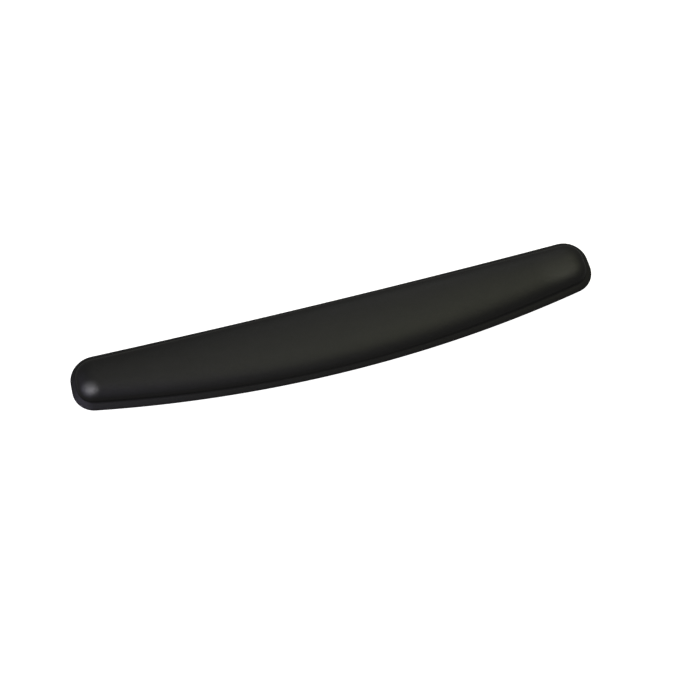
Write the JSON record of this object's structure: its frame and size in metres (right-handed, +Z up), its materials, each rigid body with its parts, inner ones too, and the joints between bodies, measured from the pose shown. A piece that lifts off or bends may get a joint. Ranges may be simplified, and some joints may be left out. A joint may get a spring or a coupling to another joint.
{
  "type": "keyboard wrist rest",
  "caption": "Long bowed wrist rest with a soft domed gel pad under black leatherette, a narrow sloping lip round its edge and a flat nonskid underside.",
  "frame": {"origin": "middle of the footprint, on the desk", "axes": "+X along the rest to the user's right, +Y towards the keyboard, so the bowed edge is at -Y, +Z up"},
  "size_m": [0.482, 0.0724, 0.019],
  "materials": {
    "leatherette": "black, fine grain, satin",
    "nonskid_rubber": "black, finely textured, matt",
    "base_plastic": "black, moulded, fine texture",
    "gel": "soft, translucent, tacky",
    "pouch_film": "clear, glossy",
    "sheet_adhesive": "thin pressure-sensitive layer",
    "contact_adhesive": "brushed-on amber layer"
  },
  "bodies": {
    "root": {"nonskid_sheet": "nonskid_rubber", "nonskid_adhesive": "sheet_adhesive", "hem_adhesive": "contact_adhesive", "base_plate": "base_plastic", "pouch_adhesive": "sheet_adhesive", "pouch_base_film": "pouch_film", "gel_core": "gel", "pouch_top_film": "pouch_film", "leatherette_cover": "leatherette"}
  },
  "joints": []
}
